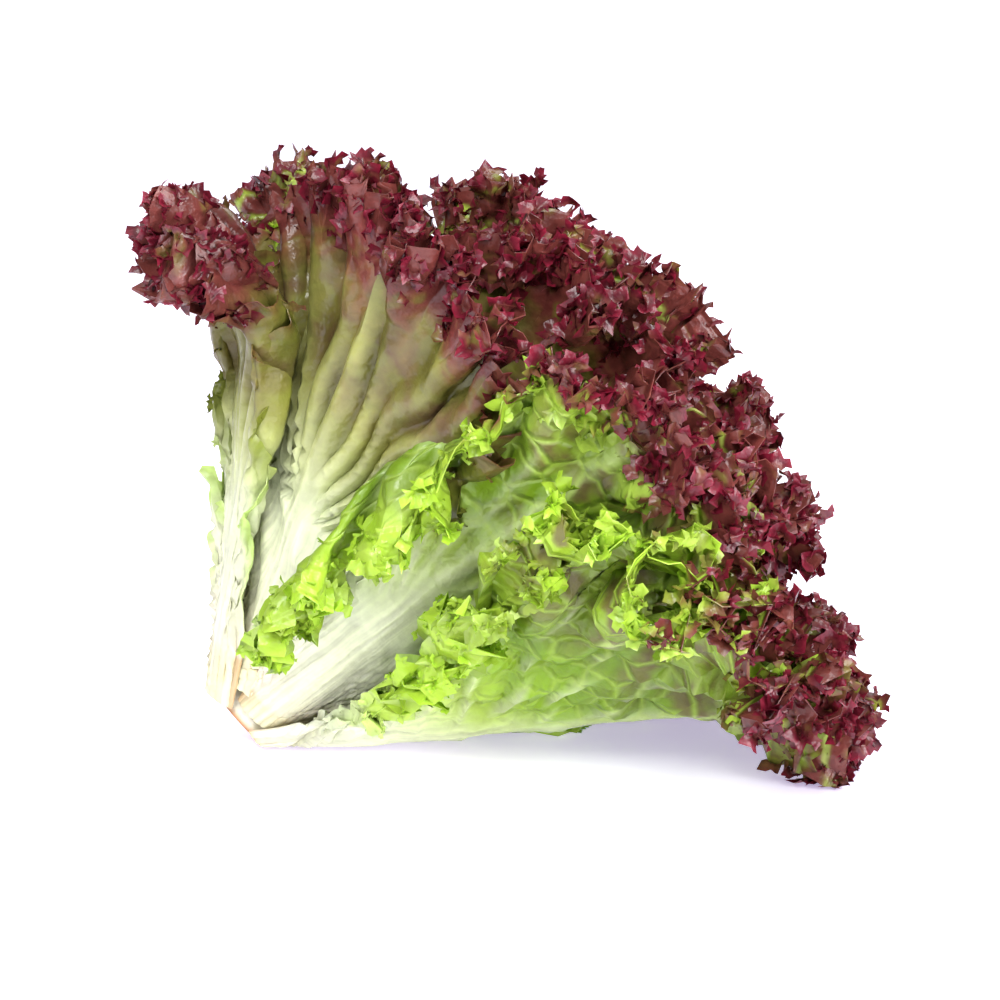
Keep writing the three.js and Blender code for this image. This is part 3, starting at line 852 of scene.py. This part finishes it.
# Each colour lies over the ones before it
coloured = blade
for share, colour in (
    (olive_share, linear("#736d2c")), (lime_share, linear("#afd03e")), (rib_share, rib_colour),
    (vein_share, linear("#b8cf5e")), (mottle, linear("#6e4a3f")), (red_cover, red),
):
    coloured = add_node(tree, "ShaderNodeMix", {"Factor": share, 6: coloured, 7: colour}, data_type="RGBA")
# Specks 3 mm across, stronger in the red
speck_share = add_node(tree, "ShaderNodeMapRange", {"Value": redness, "To Min": 0.3, "To Max": 1.3})
speck_swing = add_node(tree, "ShaderNodeMath", {0: specks, 1: -0.5}, operation="ADD")
fine = add_node(tree, "ShaderNodeMath", {0: speck_swing, 1: speck_share, 2: 1.0}, operation="MULTIPLY_ADD")
# Fibres run up the ribs as fine streaks, 2 mm across and 50 mm long
fibre_across = add_node(
    tree, "ShaderNodeMath", {0: stored["across_ribs"], 1: BASE_HALF_WIDTH / 0.002}, operation="MULTIPLY"
)
fibre_along = add_node(
    tree, "ShaderNodeMath", {0: stored["height_share"], 1: CROWN_RADIUS / 0.05}, operation="MULTIPLY"
)
fibre_place = add_node(tree, "ShaderNodeCombineXYZ", {0: fibre_across, 1: fibre_along})
fibres = add_node(
    tree, "ShaderNodeTexNoise", {"Vector": fibre_place, "Scale": 1.0, "Detail": 2.0}, noise_dimensions="2D"
)
thick = add_node(tree, "ShaderNodeMath", {0: by_height["fibres"], 1: stored["rib"]}, operation="MAXIMUM")
fibrous = add_node(tree, "ShaderNodeMath", {0: thick, 1: stored["olive"]}, operation="MAXIMUM")
streak = add_node(
    tree, "ShaderNodeMapRange",
    {"Value": fibres, "From Min": 0.35, "From Max": 0.65, "To Min": -0.2, "To Max": 0.1},
)
fibre_tint = add_node(tree, "ShaderNodeMath", {0: streak, 1: fibrous, 2: 1.0}, operation="MULTIPLY_ADD")
tinted = add_node(tree, "ShaderNodeVectorMath", {0: coloured, "Scale": fibre_tint}, operation="SCALE")
# Painted shade: the colour is darkened in the hollows between the puckers, and a painted highlight lightens
# their tops a little
pucker_painted_shade = add_node(
    tree, "ShaderNodeMapRange",
    {"Value": stored["pucker"], "From Min": -1.0, "From Max": 1.0, "To Min": -0.3, "To Max": 0.12},
)
pucker_shade_share = add_node(tree, "ShaderNodeMath", {0: pucker_painted_shade, 1: by_height["net"]}, operation="MULTIPLY")
specks_and_pucker_shade = add_node(tree, "ShaderNodeMath", {0: pucker_shade_share, 1: 2.6, 2: fine}, operation="MULTIPLY_ADD")
# The leaf's colour carries the specks and the painted shade and highlight of the puckers
leaf_colour = add_node(tree, "ShaderNodeVectorMath", {0: tinted, "Scale": specks_and_pucker_shade}, operation="SCALE")
# The surface: the net of veins, the fibres and the specks stand out
off_rib = add_node(tree, "ShaderNodeMath", {0: 1.0, 1: stored["rib"]}, operation="SUBTRACT")
net_strength = add_node(
    tree, "ShaderNodeMath", {0: by_height["net bump"], 1: off_rib}, operation="MULTIPLY"
)
net_bump = add_node(
    tree, "ShaderNodeBump", {"Height": between_veins, "Strength": net_strength, "Distance": 0.0018}
)
fibre_strength = add_node(tree, "ShaderNodeMath", {0: fibrous, 1: 0.6}, operation="MULTIPLY")
fibre_bump = add_node(
    tree, "ShaderNodeBump",
    {"Height": fibres, "Strength": fibre_strength, "Distance": 0.001, "Normal": net_bump},
)
leaf_bump = add_node(
    tree, "ShaderNodeBump", {"Height": specks, "Strength": 0.6, "Distance": 0.0009, "Normal": fibre_bump}
)
waxy = add_node(
    tree, "ShaderNodeBsdfPrincipled",
    {"Base Color": leaf_colour, "Roughness": 0.28, "IOR": 1.5, "Normal": leaf_bump},
)
glow_colour = add_node(tree, "ShaderNodeVectorMath", {0: leaf_colour, "Scale": 1.4}, operation="SCALE")
glow = add_node(tree, "ShaderNodeBsdfTranslucent", {"Color": glow_colour, "Normal": leaf_bump})
# Light shines through the blade, and hardly through the thick ribs and base
thin = add_node(tree, "ShaderNodeMapRange", {"Value": thick, "To Min": 0.35, "To Max": 0.1})
sheer = add_node(tree, "ShaderNodeMixShader", {0: thin, 1: waxy, 2: glow})
add_node(tree, "ShaderNodeOutputMaterial", {"Surface": sheer})

growth = frill_tree()
curls = {
    "Curl A": make_curl("frill_curl_a", sweep=1.5, flare=0.5, ruffle=0.2, phase=0.4),
    "Curl B": make_curl("frill_curl_b", sweep=2.2, flare=0.3, ruffle=0.15, phase=2.1),
    "Curl C": make_curl("frill_curl_c", sweep=1.0, flare=0.75, ruffle=0.26, phase=4.4),
}
inputs = {item.name: item.identifier for item in growth.interface.items_tree if item.in_out == "INPUT"}
for number in range(LEAF_COUNT):
    sheet, sizes = leaf_sheet(number)
    leaf = bpy.data.objects.new(f"lettuce_leaf_{number + 1:02d}", sheet)
    bpy.context.collection.objects.link(leaf)
    grow = leaf.modifiers.new("growth", "NODES")
    grow.node_group = growth
    for name, value in LEAF_VALUES.items():
        grow[inputs[name]] = value
    if number >= FIRST_HEART_LEAF:
        grow[inputs["Curls per Area"]] = HEART_CURLS_PER_AREA
    for name, value in LEAF_OWN_VALUES.get(number, {}).items():
        grow[inputs[name]] = value
    grow[inputs["Rib Thickness"]] = sizes["rib_thickness"] - LEAF_VALUES["Blade Thickness"]
    grow[inputs["Seed"]] = SEED_STEP * number
    for name, kind in curls.items():
        grow[inputs[name]] = kind
    grow[inputs["Finish"]] = leaf_finish
    depsgraph = bpy.context.evaluated_depsgraph_get()
    grown = bpy.data.meshes.new_from_object(
        leaf.evaluated_get(depsgraph), preserve_all_data_layers=True, depsgraph=depsgraph
    )
    leaf.modifiers.clear()
    leaf.data = grown
    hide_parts(f"leaf_{number + 1:02d}")
    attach(leaf, "root")
for kind in curls.values():
    bpy.data.objects.remove(kind)


# The table, the light and the camera
# A white table under a bright white sky of studio light, with a large soft lamp above on the left. The
# camera stands a little above the table and looks along it, far enough off to keep the head's proportions.
TABLE_HALF_WIDTH = 6
LAMP_AIM = (0, 0, 0.08)

# Lit white table: matt white board that glows a little, so its shadows stay pale and lilac
white_table, tree = new_material("lit_white_table")
table_shader = add_node(
    tree, "ShaderNodeBsdfPrincipled",
    {"Base Color": linear("#f4f3f8"), "Roughness": 0.6, "Specular IOR Level": 0.2,
     "Emission Color": linear("#e3d6ff"), "Emission Strength": 0.55},
)
add_node(tree, "ShaderNodeOutputMaterial", {"Surface": table_shader})
far = TABLE_HALF_WIDTH
table_mesh = bpy.data.meshes.new("table")
corners = [(-far, -far, 0), (far, -far, 0), (far, far, 0), (-far, far, 0)]
table_mesh.from_pydata(corners, [], [(0, 1, 2, 3)])
table_mesh.materials.append(white_table)
table = bpy.data.objects.new("table", table_mesh)
bpy.context.collection.objects.link(table)

world = bpy.data.worlds.new("white_studio")
world.use_nodes = True
tree = world.node_tree
tree.nodes.clear()
rays = add_node(tree, "ShaderNodeLightPath")
sky_strength = add_node(tree, "ShaderNodeMapRange", {"Value": rays, "To Min": 0.6, "To Max": 1.0})
sky = add_node(tree, "ShaderNodeBackground", {"Color": linear("#fdfcff"), "Strength": sky_strength})
add_node(tree, "ShaderNodeOutputWorld", {"Surface": sky})
bpy.context.scene.world = world
bpy.context.scene.view_settings.view_transform = "Standard"


def add_lamp(name, place, size, watts):
    """A square soft lamp that looks at the head."""
    lamp = bpy.data.lights.new(name, "AREA")
    lamp.size = size
    lamp.energy = watts
    holder = bpy.data.objects.new(name, lamp)
    holder.location = place
    holder.rotation_euler = (Vector(LAMP_AIM) - Vector(place)).to_track_quat("-Z", "Y").to_euler()
    bpy.context.collection.objects.link(holder)


add_lamp("key_softbox", (-0.6, -1.1, 1.2), size=0.8, watts=30)
add_lamp("rim_softbox", (0.9, 0.5, 1.1), size=0.7, watts=12)
add_lamp("fill_softbox", (0.6, -1.2, 0.35), size=0.8, watts=25)
overhead = bpy.data.lights.new("overhead_diffuser", "SUN")
overhead.energy = 1.0
overhead.angle = math.radians(70)
bpy.context.collection.objects.link(bpy.data.objects.new("overhead_diffuser", overhead))

CAMERA_AZIMUTH = math.radians(-10)
CAMERA_ELEVATION = math.radians(10)
CAMERA_DISTANCE = 1.1
PICTURE_WIDTH = 0.287
# Where the middle of the cut lies, as shares from the picture's left and top
STEM_IN_PICTURE = (0.24, 0.72)
SENSOR_WIDTH = 36
forward = Vector((
    -math.sin(CAMERA_AZIMUTH) * math.cos(CAMERA_ELEVATION),
    math.cos(CAMERA_AZIMUTH) * math.cos(CAMERA_ELEVATION),
    -math.sin(CAMERA_ELEVATION),
))
right = Vector((math.cos(CAMERA_AZIMUTH), math.sin(CAMERA_AZIMUTH), 0))
up = right.cross(forward)
aim = CUT_CENTRE + right * (0.5 - STEM_IN_PICTURE[0]) * PICTURE_WIDTH
aim = aim + up * (STEM_IN_PICTURE[1] - 0.5) * PICTURE_WIDTH
camera_data = bpy.data.cameras.new("camera")
camera_data.sensor_width = SENSOR_WIDTH
camera_data.lens = SENSOR_WIDTH * CAMERA_DISTANCE / PICTURE_WIDTH
camera = bpy.data.objects.new("camera", camera_data)
camera.location = aim - forward * CAMERA_DISTANCE
camera.rotation_euler = forward.to_track_quat("-Z", "Y").to_euler()
bpy.context.collection.objects.link(camera)
bpy.context.scene.camera = camera
